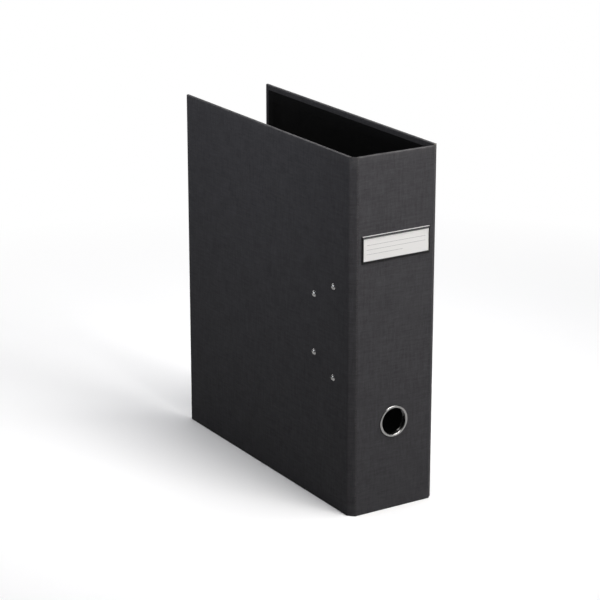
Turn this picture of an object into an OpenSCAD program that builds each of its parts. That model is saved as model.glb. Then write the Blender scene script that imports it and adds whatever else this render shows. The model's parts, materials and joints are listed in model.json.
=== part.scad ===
// Lever-arch file for A4 sheets, closed and standing on its lower edges.
// +Z is up, the spine faces -Y, and the cover that carries the mechanism is at -X.

/* [Case] */
// Width of the spine over both covers
case_w = 88; // [73:0.1:106]
// Depth from the face of the spine to the fore edge
case_d = 280; // [233:0.1:336]
// Height of the boards
case_h = 320; // [266:0.1:384]
// Thickness of the boards
board_t = 2; // [1.6:0.1:2.5]
// Thickness of the covering paper
paper_t = 0.3; // [0.25:0.01:0.4]
// Thickness of the lining paper
liner_t = 0.2; // [0.15:0.01:0.25]
// Leg of the 45 degree bevel between each cover and the spine
bevel = 5.5; // [4.5:0.1:7]
// Width of covering paper that is folded over the edges
turn_in = 15; // [12:0.5:18]
// Folded paper left showing round the lining
liner_inset = 5; // [4:0.5:6]
// Gap at each crease between a bevel strip and its neighbour
crease_gap = 0.15; // [0.1:0.01:0.2]

/* [Finger ring] */
// Height of the ring's centre above the lower edge
ring_z = 80.8; // [60:0.1:97]
// Radius of the hole for a finger
ring_bore_r = 12; // [10:0.1:14.4]
// Width of the flange on the face of the spine
ring_flange_w = 2.2; // [1.8:0.1:2.7]
// Thickness of the flange, which stands proud of the spine
ring_flange_t = 1; // [0.8:0.1:1.2]
// Wall of the tube that passes through the spine
ring_wall = 0.4; // [0.3:0.05:0.5]
// Thickness of the washer inside the spine
washer_t = 0.5; // [0.4:0.1:0.6]

/* [Label holder] */
// Distance between the frame and the crease on each side of the spine
holder_side = 4; // [2.5:0.1:9]
// Height over the frame
holder_h = 24; // [20:0.1:28.8]
// Distance of its centre below the top edge
holder_drop = 80.5; // [67:0.1:97]
// Width of the lip that hides the card's edges
holder_lip = 2; // [1.6:0.1:2.4]
// Thickness of the pressed sheet
holder_t = 0.5; // [0.4:0.05:0.6]
// Thickness of the card
card_t = 0.4; // [0.3:0.05:0.5]
// Gap round the card
card_gap = 0.15; // [0.1:0.01:0.2]

/* [Mechanism] */
// Distance between the two posts, which is the hole spacing of the sheets
hole_spacing = 80; // [66:0.1:96]
// Radius of a post
post_r = 2.3; // [2:0.1:2.6]
// Distance of the posts from the face of the spine
post_y = 66; // [62:0.1:79]
// Radius of the arch wire
wire_r = 2; // [1.7:0.05:2.4]
// Distance of the arches' axle from the face of the spine
axle_y = 36; // [34:0.1:38]
// Clear height left between the arches and the front cover
arch_clear = 12; // [10:0.5:14.4]
// Clear height left between the lever and the front cover
lever_clear = 14; // [12:0.5:16.8]
// Radius of the roller on the lever
roller_r = 3.5; // [3:0.1:4.2]
// Thickness of the base plate
plate_t = 1; // [0.8:0.1:1.2]
// Height of the mechanism's centre above the middle of the case
mech_rise = 1; // [0:0.5:4]

/* [Rivets] */
// Distance of the two rivets near the spine from its face
rivet_near_y = 28.7; // [28:0.1:30]
// Distance between the two rivets near the spine
rivet_near_span = 81.7; // [78:0.1:86]
// Distance of the two far rivets from the face of the spine
rivet_far_y = 59; // [56:0.1:60]
// Distance between the two far rivets
rivet_far_span = 52.8; // [44:0.1:60]
// Radius of the domed head
rivet_head_r = 2.9; // [2.6:0.1:3.5]
// Height of the domed head
rivet_head_h = 1.6; // [1.3:0.1:1.9]
// Radius of the shank
rivet_r = 2; // [1.7:0.1:2.2]

/* [Hidden] */
$fn = 48;

// Clearance round a shaft or pin that turns
run_gap = 0.05;
// Clearance round a fastener or spigot that stays still
seat_gap = 0.02;
// Clearance between pieces that move past each other
free_gap = 0.3;
// Clearance at each side of a piece that turns between two cheeks
side_gap = 0.5;
// Length by which a cutter passes through a face
through = 1;

// Layers of a panel, measured inward from its outer face
board_back = paper_t + board_t;
cover_t = board_back + liner_t;
fold_back = board_back + paper_t;
inner_w = case_w - 2 * cover_t;
spine_half = case_w / 2 - bevel;

// Pressed label holder
holder_w = 2 * (spine_half - holder_side);
holder_z = case_h - holder_drop;
pocket_t = card_t + 2 * card_gap;
holder_proud = pocket_t + holder_t;
prong_w = 3;
prong_len = 6;
prong_z = holder_h / 4;

// Eyelet through the spine
ring_flange_r = ring_bore_r + ring_flange_w;
ring_hole_r = ring_bore_r + ring_wall + seat_gap;
ring_roll_t = 0.8;
ring_roll_w = 1.6;
washer_w = 2.5;
ring_tail = cover_t + washer_t + ring_roll_t;

// Mechanism, in its own frame: x is height above the lining, y as the case, z from its centre
mech_z = case_h / 2 + mech_rise;
post_z = hole_spacing / 2;
rivet_tail = 0.8;
rivet_bore_r = rivet_r - 0.7;
rivet_places = [
    for (side = [-1, 1], pair = [[rivet_near_y, rivet_near_span], [rivet_far_y, rivet_far_span]])
        [pair[0], side * pair[1] / 2]
];
plate_edge = 6.7;
collar_r = 3.5;
plate_y0 = rivet_near_y - plate_edge;
plate_y1 = post_y + plate_edge;
plate_half = max(post_z + collar_r, rivet_near_span / 2) + plate_edge;
plate_corner = 5;

// Arch wire: an axle, a crank in its middle and an arch at each end
axle_h = wire_r + plate_t + 2;
arch_h = inner_w - arch_clear - wire_r;
arch_bend = (post_y - axle_y) / 2;
leg_bend = 2 * wire_r;
crank_y = axle_y + 7;
crank_bend = 3.5;
crank_z = 12;
tip_slope = tan(30);
tip_h = arch_h - arch_bend;
tip_len = wire_r * tip_slope;
loop_z = 26;
loop_w = 6;
loop_wall = 1.1;

// Posts
collar_top = 6.6;
spigot_r = 2;
mouth_r = wire_r + 0.1;
post_bore_r = 1.5;
post_bore_len = 20;
post_top = tip_h - tip_len - free_gap / cos(30) + mouth_r * tip_slope;

// Lever with its roller above the crank
lever_arm = 9;
lever_lean = 10;
roller_h = axle_h + wire_r + roller_r + free_gap;
pivot_h = roller_h + lever_arm;
pivot_y = crank_y;
lever_pin_r = 1.75;
lever_pin_head = 0.8;
lever_pin_collar = 1;
roller_pin_r = 1.4;
roller_pin_head = 0.6;
roller_half = crank_z - crank_bend - side_gap;
cheek_t = 1;
cheek_in = roller_half + side_gap;
cheek_out = cheek_in + cheek_t;
cheek_r = 4.4;
arm_end_r = roller_r - 0.5;
lug_in = crank_z + wire_r + side_gap;
lug_out = lug_in + cheek_t;
lug_y0 = axle_y + wire_r + side_gap;
tip_curl = 5;
tip_angle = 50;
handle_len = (inner_w - lever_clear - pivot_h) / cos(lever_lean) - tip_curl;
cheek_end = handle_len - 2;
web_half = cheek_out - 0.1;
// Depth by which a flat edge is sunk below the round that it meets
tuck = 0.2;

// Compressor bar, resting round the collars of the posts
bar_half_y = 8;
bar_half_z = post_z + 18;
bar_h = 5;
bar_t = 1;
bar_corner = 4;
bar_hole_r = collar_r + free_gap;
flange_t = 0.8;
flange_h = 2.4;
spring_r = 0.6;
spring_y = post_y - collar_r - 1.5;
latch_y = post_y - 4;
latch_r = 2.2;
latch_h = bar_h + bar_t + latch_r + free_gap;
latch_pin_r = 1;
latch_pin_head = 0.5;
latch_half = 12.5;
latch_len = 11;
ear_in = latch_half + side_gap;
ear_t = 1;

// The origin is under the middle of the whole object
x_low = -case_w / 2 - rivet_head_h;
y_low = -max(ring_flange_t, holder_proud);
shift = [-(x_low + case_w / 2) / 2, -(y_low + case_d) / 2, 0];

cover_grey = [0.17, 0.17, 0.19];
lining_black = [0.06, 0.06, 0.06];
board_grey = [0.55, 0.53, 0.5];
nickel = [0.78, 0.78, 0.76];
steel = [0.62, 0.63, 0.65];

// ---------- frames ----------

// Rear panel: x is depth in from its outer face, y and z as the case
module rear() translate(shift - [case_w / 2, 0, 0]) children();
module front() translate(shift + [case_w / 2, 0, 0]) mirror([1, 0, 0]) children();
// Spine panel: x is depth in from its face, y runs across it
module spine() translate(shift) rotate([0, 0, 90]) children();
// Spine fittings: x across, y outward from the face at height h
module on_spine(h) translate(shift + [0, 0, h]) children();
module mech() translate(shift + [cover_t - case_w / 2, 0, mech_z]) children();
// An axis that stands up from the lining, and one that points out of the spine
module upright(y, z) translate([0, y, z]) rotate([0, 90, 0]) children();
module outward() rotate([90, 0, 0]) children();

// A matrix that carries x, y and z onto u, v and w at the point p
module aim(p, u, v, w)
    multmatrix([for (i = [0:2]) [u[i], v[i], w[i], p[i]]]) children();

// ---------- shared shapes ----------

function unit(v) = v / norm(v);
function side_of(w) = unit(cross(abs(w[2]) < 0.9 ? [0, 0, 1] : [1, 0, 0], w));

// Round wire of radius r along straight runs, bent to the given radius at each inner point
module wire(path, bends, r) {
    last = len(path) - 1;
    function reach(i) = i == 0 || i == last ? 0 : bends[i - 1];
    for (i = [0:last - 1]) {
        way = unit(path[i + 1] - path[i]);
        from = path[i] + way * reach(i);
        run = norm(path[i + 1] - path[i]) - reach(i) - reach(i + 1);
        if (run > 0.01)
            aim(from, side_of(way), cross(way, side_of(way)), way) cylinder(r = r, h = run);
    }
    for (i = [1:last - 1]) {
        back = unit(path[i - 1] - path[i]);
        ahead = unit(path[i + 1] - path[i]);
        aim(path[i] + (back + ahead) * bends[i - 1], -ahead, -back, cross(ahead, back))
            rotate_extrude(angle = 90) translate([bends[i - 1], 0]) circle(r = r);
    }
}

// Plate of y by z with round corners, thickness along x
module rounded_plate(y0, y1, half_z, t, corner) {
    translate([0, y0 + corner, -half_z]) cube([t, y1 - y0 - 2 * corner, 2 * half_z]);
    translate([0, y0, corner - half_z]) cube([t, y1 - y0, 2 * (half_z - corner)]);
    for (y = [y0 + corner, y1 - corner], z = [corner - half_z, half_z - corner])
        upright(y, z) cylinder(r = corner, h = t);
}

// ---------- panels of the case ----------

// A block of a panel between two depths, from v0 to v1 along it and inset at top and bottom
module slab(d0, d1, v0, v1, inset)
    translate([d0, v0, inset]) cube([d1 - d0, v1 - v0, case_h - 2 * inset]);

// How far a cutter stops short of the end: the given length at a wrapped end, else past it
function end_inset(wrapped, length) = wrapped ? length : -through;

module board(v0, v1, wrapped)
    slab(paper_t, board_back, v0, v1 - (wrapped ? paper_t : 0), paper_t);

module covering(v0, v1, wrapped) difference() {
    slab(0, fold_back, v0, v1, 0);
    slab(paper_t, board_back, v0 - through, v1 - end_inset(wrapped, paper_t), paper_t);
    slab(board_back - paper_t, fold_back + through, v0 - through, v1 - end_inset(wrapped, turn_in),
         turn_in);
}

// The lining steps down from the folded paper to the board
module lining(v0, v1, wrapped) difference() {
    slab(board_back, fold_back + liner_t, v0, v1 - (wrapped ? liner_inset : 0), liner_inset);
    difference() {
        slab(board_back - through, fold_back, v0 - through, v1 + through, 0);
        slab(0, case_w, v0 - 2 * through, v1 - end_inset(wrapped, turn_in), turn_in);
    }
    slab(cover_t, case_w, v0 - through, v1 - end_inset(wrapped, turn_in + liner_t),
         turn_in + liner_t);
}

// Bevel strip between the rear cover and the spine, between two depths
module strip(d0, d1, z0, z1) {
    near = bevel - crease_gap;
    deep = [for (d = [d0, d1]) d * sqrt(2) + crease_gap];
    translate([0, 0, z0]) linear_extrude(z1 - z0)
        polygon([[deep[0], near], [deep[1], near], [near, deep[1]], [near, deep[0]]]);
}

module hinge_paper() {
    strip(0, paper_t, 0, case_h);
    strip(0, 2 * paper_t, 0, turn_in);
    strip(0, 2 * paper_t, case_h - turn_in, case_h);
}

module hinge_liner() {
    strip(paper_t, paper_t + liner_t, turn_in, case_h - turn_in);
    for (z = [liner_inset, case_h - turn_in - liner_t])
        strip(2 * paper_t, 2 * paper_t + liner_t, z, z + turn_in + liner_t - liner_inset);
    for (z = [turn_in, case_h - turn_in - liner_t])
        strip(paper_t, 2 * paper_t + liner_t, z, z + liner_t);
}

// Holes in the rear panel for the rivets, and in the spine for its fittings
module rivet_holes()
    for (place = rivet_places)
        translate([0, 0, mech_z]) upright(place[0], place[1])
            translate([0, 0, -through]) cylinder(r = rivet_r + seat_gap, h = cover_t + 2 * through);

module spine_holes() {
    upright(0, ring_z) translate([0, 0, -through]) cylinder(r = ring_hole_r, h = 2 * cover_t);
    for (side = [-1, 1], z = [-prong_z, prong_z])
        translate([-through, side * (holder_w - holder_t) / 2 - holder_t / 2 - seat_gap,
                   holder_z + z - prong_w / 2 - seat_gap])
            cube([2 * cover_t, holder_t + 2 * seat_gap, prong_w + 2 * seat_gap]);
}

module rear_board() color(board_grey) rear() difference() {
    board(bevel, case_d, true);
    rivet_holes();
}

module rear_cover_paper() color(cover_grey) rear() difference() {
    covering(bevel, case_d, true);
    rivet_holes();
}

module rear_liner() color(lining_black) rear() difference() {
    lining(bevel, case_d, true);
    rivet_holes();
}

module front_board() color(board_grey) front() board(bevel, case_d, true);
module front_cover_paper() color(cover_grey) front() covering(bevel, case_d, true);
module front_liner() color(lining_black) front() lining(bevel, case_d, true);

module spine_board() color(board_grey) spine() difference() {
    board(-spine_half, spine_half, false);
    spine_holes();
}

module spine_paper() color(cover_grey) spine() difference() {
    covering(-spine_half, spine_half, false);
    spine_holes();
}

module spine_liner() color(lining_black) spine() difference() {
    lining(-spine_half, spine_half, false);
    spine_holes();
}

module rear_hinge_paper() color(cover_grey) rear() hinge_paper();
module rear_hinge_liner() color(lining_black) rear() hinge_liner();
module front_hinge_paper() color(cover_grey) front() hinge_paper();
module front_hinge_liner() color(lining_black) front() hinge_liner();

// ---------- fittings on the spine ----------

// Flat ring section with round edges, from radius r0 to r1 and centred on height z
module bullnose(r0, r1, z, t) {
    translate([r0 + t / 2, z - t / 2]) square([r1 - r0 - t, t]);
    for (r = [r0 + t / 2, r1 - t / 2]) translate([r, z]) circle(r = t / 2);
}

module finger_ring() color(nickel) on_spine(ring_z) outward() rotate_extrude() {
    bullnose(ring_bore_r, ring_flange_r, ring_flange_t / 2, ring_flange_t);
    bullnose(ring_bore_r, ring_bore_r + ring_roll_w, ring_roll_t / 2 - ring_tail, ring_roll_t);
    translate([ring_bore_r, ring_roll_t / 2 - ring_tail])
        square([ring_wall, ring_tail + (ring_flange_t - ring_roll_t) / 2]);
}

module finger_ring_washer() color(steel) on_spine(ring_z) outward()
    translate([0, 0, -cover_t - washer_t]) difference() {
        cylinder(r = ring_bore_r + washer_w + ring_wall, h = washer_t);
        translate([0, 0, -through]) cylinder(r = ring_hole_r, h = washer_t + 2 * through);
    }

module label_holder() color(steel) on_spine(holder_z) {
    // lip all round, open below its upper bar
    difference() {
        translate([-holder_w / 2, -holder_proud, -holder_h / 2]) cube([holder_w, holder_t, holder_h]);
        translate([holder_lip - holder_w / 2, -2 * holder_proud, holder_lip - holder_h / 2])
            cube([holder_w - 2 * holder_lip, 3 * holder_proud, holder_h - 2 * holder_lip]);
    }
    translate([-holder_w / 2, -holder_proud, -holder_h / 2]) cube([holder_w, holder_proud, holder_t]);
    for (side = [0, 1]) mirror([side, 0, 0]) {
        translate([holder_w / 2 - holder_t, -holder_proud, -holder_h / 2])
            cube([holder_t, holder_proud, holder_h]);
        for (z = [-prong_z, prong_z]) {
            translate([holder_w / 2 - holder_t, -holder_t, z - prong_w / 2])
                cube([holder_t, cover_t + 2 * holder_t, prong_w]);
            translate([holder_w / 2 - prong_len, cover_t, z - prong_w / 2])
                cube([prong_len, holder_t, prong_w]);
        }
    }
}

module label_card() color([0.93, 0.92, 0.88]) on_spine(holder_z)
    translate([holder_t + card_gap - holder_w / 2, -card_gap - card_t, holder_t + card_gap - holder_h / 2])
        cube([holder_w - 2 * (holder_t + card_gap), card_t, holder_h - holder_t - 2 * card_gap]);

// ---------- mechanism on the rear cover ----------

module base_plate() color(nickel) mech() difference() {
    union() {
        rounded_plate(plate_y0, plate_y1, plate_half, plate_t, plate_corner);
        for (side = [-1, 1]) translate([0, 0, side * loop_z - loop_w / 2]) {
            translate([axle_h, axle_y, 0]) cylinder(r = wire_r + loop_wall, h = loop_w);
            translate([plate_t / 2, axle_y - wire_r - loop_wall, 0])
                cube([axle_h - plate_t / 2, 2 * (wire_r + loop_wall), loop_w]);
        }
        for (z = [-lug_out, lug_in]) translate([0, 0, z]) {
            translate([plate_t / 2, lug_y0, 0])
                cube([pivot_h - plate_t / 2, 2 * (pivot_y - lug_y0), cheek_t]);
            translate([pivot_h, pivot_y, 0]) cylinder(r = pivot_y - lug_y0, h = cheek_t);
        }
    }
    translate([axle_h, axle_y, -loop_z - loop_w])
        cylinder(r = wire_r + run_gap, h = 2 * (loop_z + loop_w));
    translate([pivot_h, pivot_y, -lug_out - through])
        cylinder(r = lever_pin_r + seat_gap, h = 2 * (lug_out + through));
    for (place = rivet_places)
        upright(place[0], place[1]) translate([0, 0, -through])
            cylinder(r = rivet_r + seat_gap, h = plate_t + 2 * through);
    for (z = [-post_z, post_z])
        upright(post_y, z) translate([0, 0, -through])
            cylinder(r = spigot_r + seat_gap, h = plate_t + 2 * through);
}

module post(z) mech() upright(post_y, z) difference() {
    union() {
        cylinder(r = spigot_r, h = plate_t + through);
        translate([0, 0, plate_t]) cylinder(r = collar_r, h = collar_top - plate_t);
        translate([0, 0, plate_t]) cylinder(r = post_r, h = post_top - plate_t);
    }
    translate([0, 0, post_top - post_bore_len]) cylinder(r = post_bore_r, h = post_bore_len + through);
    translate([0, 0, post_top - mouth_r * tip_slope])
        cylinder(r1 = 0, r2 = mouth_r + through, h = (mouth_r + through) * tip_slope);
}

module upper_post() color(nickel) post(post_z);
module lower_post() color(nickel) post(-post_z);

module mechanism_rivets() color(nickel) rear() translate([0, 0, mech_z])
    for (place = rivet_places) upright(place[0], place[1]) difference() {
        dome_r = (pow(rivet_head_r, 2) + pow(rivet_head_h, 2)) / (2 * rivet_head_h);
        union() {
            rotate_extrude() intersection() {
                translate([0, dome_r - rivet_head_h]) circle(r = dome_r, $fn = 96);
                translate([0, -rivet_head_h]) square([rivet_head_r, rivet_head_h]);
            }
            cylinder(r = rivet_r, h = cover_t + plate_t + rivet_tail / 2);
            translate([0, 0, cover_t + plate_t])
                cylinder(r1 = rivet_r + 1, r2 = rivet_r + 0.4, h = rivet_tail);
        }
        translate([0, 0, cover_t]) cylinder(r = rivet_bore_r, h = plate_t + rivet_tail + through);
    }

module arch_wire() color(nickel) mech() {
    half = [[tip_h, post_y], [arch_h, post_y], [arch_h, axle_y], [axle_h, axle_y]];
    crank = [[axle_h, axle_y], [axle_h, crank_y]];
    bends = [arch_bend, arch_bend, leg_bend, crank_bend, crank_bend];
    wire(
        concat([for (p = half) [p[0], p[1], post_z]], [for (p = crank) [p[0], p[1], crank_z]],
               [for (i = [1, 0]) [crank[i][0], crank[i][1], -crank_z]],
               [for (i = [3:-1:0]) [half[i][0], half[i][1], -post_z]]),
        concat(bends, [for (i = [4:-1:0]) bends[i]]), wire_r);
    for (z = [-post_z, post_z]) translate([tip_h, post_y, z]) rotate([0, -90, 0])
        cylinder(r1 = wire_r, r2 = 0, h = tip_len);
}

// Side of the lever: a short arm down to the roller and a tapering flange up the handle
module cheek() difference() {
    union() {
        circle(r = cheek_r);
        translate([-lever_arm, 0]) circle(r = arm_end_r);
        polygon([[0, tuck - cheek_r], [0, cheek_r - tuck],
                 [-lever_arm, arm_end_r - tuck], [-lever_arm, tuck - arm_end_r]]);
        rotate(lever_lean) polygon([[0, tuck - cheek_r], [0, cheek_r - tuck], [cheek_end, cheek_r - tuck],
                                    [cheek_end, cheek_r - 2], [cheek_end / 2, cheek_r - 5]]);
    }
    circle(r = lever_pin_r + run_gap);
    translate([-lever_arm, 0]) circle(r = roller_pin_r + seat_gap);
}

module lever() color(nickel) mech() translate([pivot_h, pivot_y, 0]) {
    for (z = [-cheek_out, cheek_in]) translate([0, 0, z]) linear_extrude(cheek_t) cheek();
    rotate(lever_lean) {
        translate([cheek_r + 2, cheek_r - cheek_t, -web_half])
            cube([handle_len - cheek_r - 2, cheek_t, 2 * web_half]);
        translate([handle_len, cheek_r + tip_curl, 0]) rotate(-90) rotate_extrude(angle = tip_angle)
            translate([tip_curl, -web_half]) square([cheek_t, 2 * web_half]);
    }
}

// A pin along z from z0 to z1, with a flat head past each end
module headed_pin(r, z0, z1, head) {
    translate([0, 0, z0 - head / 2]) cylinder(r = r, h = z1 - z0 + head);
    for (z = [z0 - head, z1]) translate([0, 0, z]) cylinder(r = r + head, h = head);
}

module lever_pin() color(steel) mech() translate([pivot_h, pivot_y, 0]) {
    headed_pin(lever_pin_r, -lug_out, lug_out, lever_pin_head);
    for (z = [-lug_in, cheek_out + free_gap]) translate([0, 0, z])
        cylinder(r = lever_pin_r + lever_pin_collar, h = lug_in - cheek_out - free_gap);
}

module roller() color([0.2, 0.2, 0.2]) mech() translate([roller_h, pivot_y, -roller_half])
    difference() {
        cylinder(r = roller_r, h = 2 * roller_half);
        translate([0, 0, -through])
            cylinder(r = roller_pin_r + run_gap, h = 2 * (roller_half + through));
    }

module roller_pin() color(steel) mech() translate([roller_h, pivot_y, 0])
    headed_pin(roller_pin_r, -cheek_out, cheek_out, roller_pin_head);

module compressor_bar() color(nickel) mech() difference() {
    union() {
        translate([bar_h, 0, 0])
            rounded_plate(post_y - bar_half_y, post_y + bar_half_y, bar_half_z, bar_t, bar_corner);
        for (y = [post_y - bar_half_y, post_y + bar_half_y - flange_t])
            translate([flange_h, y, bar_corner - bar_half_z])
                cube([bar_h - flange_h + bar_t / 2, flange_t, 2 * (bar_half_z - bar_corner)]);
        for (z = [-ear_in - ear_t, ear_in]) translate([0, 0, z]) {
            translate([bar_h, latch_y - latch_r, 0]) cube([latch_h - bar_h, 2 * latch_r, ear_t]);
            translate([latch_h, latch_y, 0]) cylinder(r = latch_r, h = ear_t);
        }
    }
    for (z = [-post_z, post_z])
        upright(post_y, z) cylinder(r = bar_hole_r, h = bar_h + bar_t + through);
    translate([latch_h, latch_y, -ear_in - ear_t - through])
        cylinder(r = latch_pin_r + seat_gap, h = 2 * (ear_in + ear_t + through));
}

module grip_spring() color(steel) mech() {
    bend = 2;
    end_z = bar_half_z - bar_corner - bend;
    far_y = post_y + bar_half_y - flange_t - bend;
    h = bar_h - spring_r - run_gap;
    wire([[h, far_y, end_z], [h, spring_y, end_z], [h, spring_y, -end_z], [h, far_y, -end_z]],
         [bend, bend], spring_r);
}

module compressor_latch() color(nickel) mech() translate([latch_h, latch_y, 0]) difference() {
    union() {
        translate([0, 0, -latch_half]) cylinder(r = latch_r, h = 2 * latch_half);
        translate([-0.5, 0, 2 - latch_half]) cube([1, latch_len, 2 * (latch_half - 2)]);
        translate([0, latch_len, 2 - latch_half]) cylinder(r = 1, h = 2 * (latch_half - 2));
    }
    translate([0, 0, -latch_half - through])
        cylinder(r = latch_pin_r + run_gap, h = 2 * (latch_half + through));
}

module latch_pin() color(steel) mech() translate([latch_h, latch_y, 0])
    headed_pin(latch_pin_r, -ear_in - ear_t, ear_in + ear_t, latch_pin_head);

rear_board();
rear_cover_paper();
rear_liner();
rear_hinge_paper();
rear_hinge_liner();
spine_board();
spine_paper();
spine_liner();
front_hinge_paper();
front_hinge_liner();
front_board();
front_cover_paper();
front_liner();
finger_ring();
finger_ring_washer();
label_holder();
label_card();
base_plate();
upper_post();
lower_post();
mechanism_rivets();
arch_wire();
lever();
lever_pin();
roller();
roller_pin();
compressor_bar();
grip_spring();
compressor_latch();
latch_pin();
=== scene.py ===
import json
import math

import bmesh
import bpy
from mathutils import Matrix, Vector, noise


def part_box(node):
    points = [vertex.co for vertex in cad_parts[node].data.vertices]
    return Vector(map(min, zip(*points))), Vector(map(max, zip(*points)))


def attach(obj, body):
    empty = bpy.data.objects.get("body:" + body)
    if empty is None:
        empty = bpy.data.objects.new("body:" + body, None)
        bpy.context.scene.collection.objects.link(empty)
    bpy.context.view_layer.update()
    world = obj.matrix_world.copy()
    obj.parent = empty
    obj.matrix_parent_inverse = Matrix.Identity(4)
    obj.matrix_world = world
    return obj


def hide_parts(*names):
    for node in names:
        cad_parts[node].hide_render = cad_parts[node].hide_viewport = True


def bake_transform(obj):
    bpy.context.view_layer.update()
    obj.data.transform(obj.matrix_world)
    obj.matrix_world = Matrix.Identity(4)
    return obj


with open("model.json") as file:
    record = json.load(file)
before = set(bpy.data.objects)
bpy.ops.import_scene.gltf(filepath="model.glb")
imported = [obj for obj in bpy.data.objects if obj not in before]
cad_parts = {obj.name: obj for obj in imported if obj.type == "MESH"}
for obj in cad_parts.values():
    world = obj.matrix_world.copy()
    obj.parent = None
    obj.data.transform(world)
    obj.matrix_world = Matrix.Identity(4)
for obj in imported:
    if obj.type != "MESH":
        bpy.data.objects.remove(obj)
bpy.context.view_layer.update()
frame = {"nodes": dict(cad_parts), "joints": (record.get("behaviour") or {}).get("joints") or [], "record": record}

mm = 0.001
record = frame["record"]
jointAt = {j["name"]: Vector(j["pos_m"]) for j in frame["joints"] if "pos_m" in j}
print("frame loaded:", len(frame["nodes"]), "nodes")


# node groups shared by the materials

def newGroup(name, inputs, outputs):
    # takes a vector and the named numbers, and puts out numbers
    group = bpy.data.node_groups.new(name, "ShaderNodeTree")
    group.interface.new_socket("Vector", in_out="INPUT", socket_type="NodeSocketVector")
    for label, value in inputs.items():
        socket = group.interface.new_socket(label, in_out="INPUT", socket_type="NodeSocketFloat")
        socket.default_value = value
    for label in outputs:
        group.interface.new_socket(label, in_out="OUTPUT", socket_type="NodeSocketFloat")
    return group, group.nodes.new("NodeGroupInput"), group.nodes.new("NodeGroupOutput")


def link(tree, source, target):
    tree.links.new(source, target)


def setInputs(node, **values):
    for label, value in values.items():
        node.inputs[label.replace("_", " ")].default_value = value


def maths(tree, operation, a, b=None, c=None, clamp=False):
    node = tree.nodes.new("ShaderNodeMath")
    node.operation, node.use_clamp = operation, clamp
    for slot, value in enumerate((a, b, c)):
        if value is None:
            continue
        if isinstance(value, (int, float)):
            node.inputs[slot].default_value = value
        else:
            link(tree, value, node.inputs[slot])
    return node.outputs[0]


def plus(tree, a, b, **options):
    return maths(tree, "ADD", a, b, **options)


def minus(tree, a, b):
    return maths(tree, "SUBTRACT", a, b)


def times(tree, a, b, **options):
    return maths(tree, "MULTIPLY", a, b, **options)


def noiseAt(tree, vector, scale, detail=2.0, roughness=0.5):
    node = tree.nodes.new("ShaderNodeTexNoise")
    setInputs(node, Scale=scale, Detail=detail, Roughness=roughness)
    link(tree, vector, node.inputs["Vector"])
    return node.outputs["Fac"]


def stretched(tree, vector, x, y, z=1.0):
    # coordinates scaled apart, so that a noise on them runs long one way
    node = tree.nodes.new("ShaderNodeMapping")
    setInputs(node, Scale=(x, y, z))
    link(tree, vector, node.inputs["Vector"])
    return node.outputs["Vector"]


def blendColours(tree, factor, a, b, mode="MIX"):
    node = tree.nodes.new("ShaderNodeMix")
    node.data_type, node.blend_type = "RGBA", mode
    for socket, value in ((node.inputs["Factor"], factor), (node.inputs[6], a), (node.inputs[7], b)):
        if isinstance(value, (int, float, tuple)):
            socket.default_value = value
        else:
            link(tree, value, socket)
    return node.outputs[2]


def buildLinenWeave():
    # warp and weft threads with slubs; vector is in metres across the cloth
    group, source, sink = newGroup("LinenWeave", {"Thread Pitch": 0.6 * mm, "Slub": 0.6, "Mottle": 0.3},
                                   ("Shade", "Height"))
    vector = source.outputs["Vector"]
    split = group.nodes.new("ShaderNodeSeparateXYZ")
    link(group, vector, split.inputs[0])
    wander = times(group, minus(group, noiseAt(group, vector, 160.0), 0.5), 0.0008)
    long, thin = 150.0, 2000.0                  # noise scale along and across a thread
    threads = []
    for axis in (0, 1):
        across = plus(group, split.outputs[axis], wander)
        turn = times(group, maths(group, "DIVIDE", across, source.outputs["Thread Pitch"]), math.pi)
        rib = maths(group, "ABSOLUTE", maths(group, "SINE", turn))
        scales = (thin, long) if axis == 0 else (long, thin)
        fine = noiseAt(group, stretched(group, vector, *scales), 1.0, 3.0, 0.6)
        scales = (thin / 4, long / 3) if axis == 0 else (long / 3, thin / 4)
        wide = noiseAt(group, stretched(group, vector, *scales), 1.0, 2.0, 0.5)
        slub = plus(group, times(group, fine, 0.6), times(group, wide, 0.4))
        threads.append((rib, slub))
    ribs = maths(group, "MAXIMUM", threads[0][0], threads[1][0])
    slubs = plus(group, threads[0][1], threads[1][1])
    slubShade = times(group, minus(group, slubs, 1.0), source.outputs["Slub"])
    mottle = minus(group, noiseAt(group, vector, 45.0, 3.0, 0.6), 0.5)
    shade = plus(group, slubShade, times(group, mottle, source.outputs["Mottle"]))
    shade = plus(group, shade, times(group, minus(group, ribs, 0.8), 0.25))
    link(group, plus(group, shade, 1.0), sink.inputs["Shade"])
    height = plus(group, times(group, ribs, 0.6), times(group, slubs, 0.5))
    link(group, height, sink.inputs["Height"])
    return group


def buildEdgeWearAndHighlight():
    # pale edges, partly rubbed paper and partly a painted highlight where light falls on the top edges: the
    # piece's own edge mask broken up by noise
    group, source, sink = newGroup("EdgeWearAndHighlight", {"Amount": 0.5, "Mask": 0.0}, ("WearAndHighlight",))
    coarse = noiseAt(group, source.outputs["Vector"], 220.0, 4.0, 0.7)
    patchy = maths(group, "MULTIPLY_ADD", coarse, 2.4, -0.7, clamp=True)
    wornAndLit = times(group, source.outputs["Mask"], patchy)
    link(group, times(group, wornAndLit, source.outputs["Amount"]), sink.inputs["WearAndHighlight"])
    return group


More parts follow.
